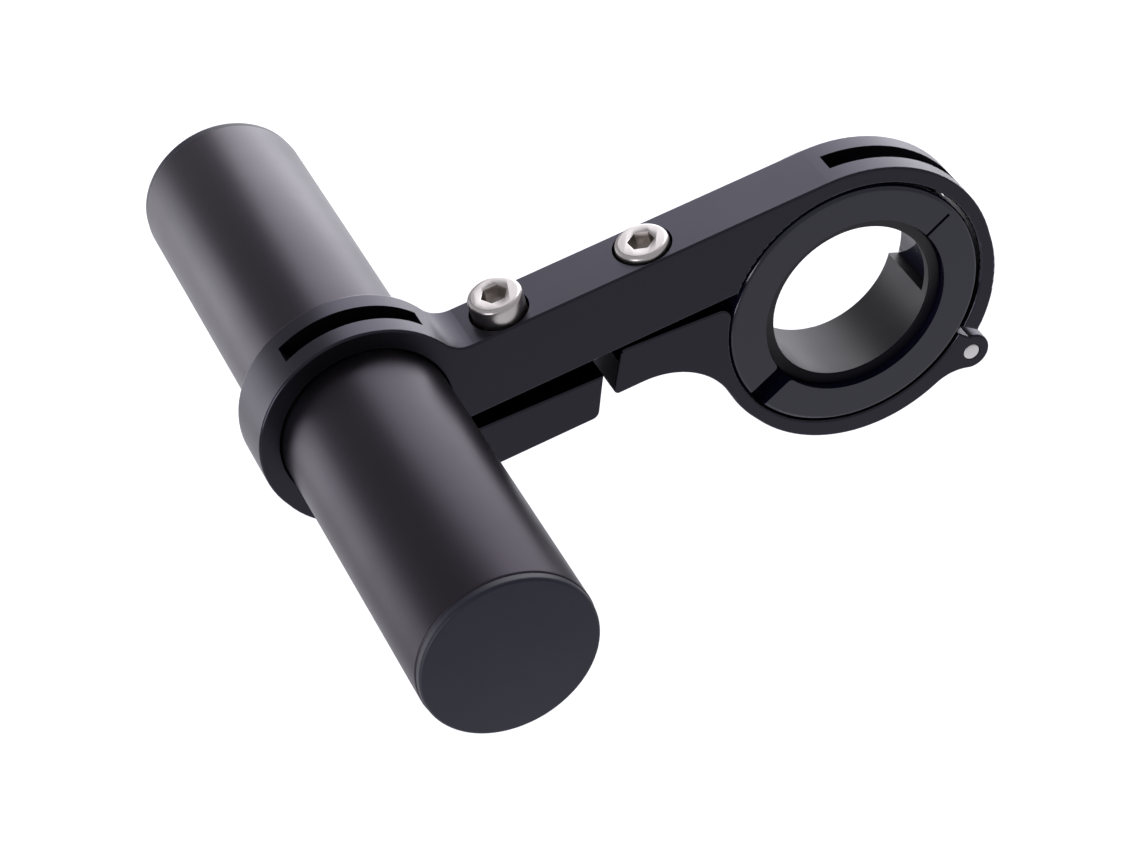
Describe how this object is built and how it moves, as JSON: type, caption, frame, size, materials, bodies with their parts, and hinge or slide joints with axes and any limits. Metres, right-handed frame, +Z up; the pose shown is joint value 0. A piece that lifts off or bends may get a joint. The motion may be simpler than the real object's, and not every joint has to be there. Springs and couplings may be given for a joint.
{
  "type": "handlebar extender",
  "caption": "Arm with a hinged clamp for a bicycle handlebar at one end and a split ring at the other, holding a plugged accessory tube parallel to the bar.",
  "frame": {"origin": "on the handlebar's axis, at the middle of the arm's width", "axes": "+Y along the handlebar and the accessory tube, +Z up along the screws, -X from the handlebar clamp towards the accessory tube"},
  "size_m": [0.0985, 0.1025, 0.0503],
  "materials": {
    "anodised_arm": "satin black anodised",
    "anodised_tube": "satin black anodised",
    "cap_plastic": "matte",
    "bush_plastic": "satin",
    "liner_plastic": "semi-gloss",
    "stainless": "bright"
  },
  "bodies": {
    "clamp_arm": {"arm": "anodised_arm", "reducer_bush": "bush_plastic", "liner": "liner_plastic"},
    "jaw": {"jaw": "anodised_arm", "hinge_pin": "stainless"},
    "accessory_tube": {"extension_tube": "anodised_tube", "front_end_cap": "cap_plastic", "rear_end_cap": "cap_plastic"},
    "tube_screw": {"tube_clamp_bolt": "stainless"},
    "jaw_screw": {"jaw_bolt": "stainless"}
  },
  "joints": [
    {"name": "tube_slide", "type": "slide", "parent": "clamp_arm", "child": "accessory_tube", "axis": [0, 1, 0], "range_m": [-0.04, 0.04]},
    {"name": "jaw_hinge", "type": "hinge", "parent": "clamp_arm", "child": "jaw", "pos_m": [0.01438, 0, -0.0162], "axis": [0, -1, 0], "range_deg": [0, 0.4]},
    {"name": "tube_screw_slide", "type": "slide", "parent": "clamp_arm", "child": "tube_screw", "axis": [0, 0, 1], "range_m": [-0.0025, 0.004]},
    {"name": "jaw_screw_slide", "type": "slide", "parent": "jaw", "child": "jaw_screw", "axis": [0, 0, 1], "range_m": [0, 0.004]}
  ]
}
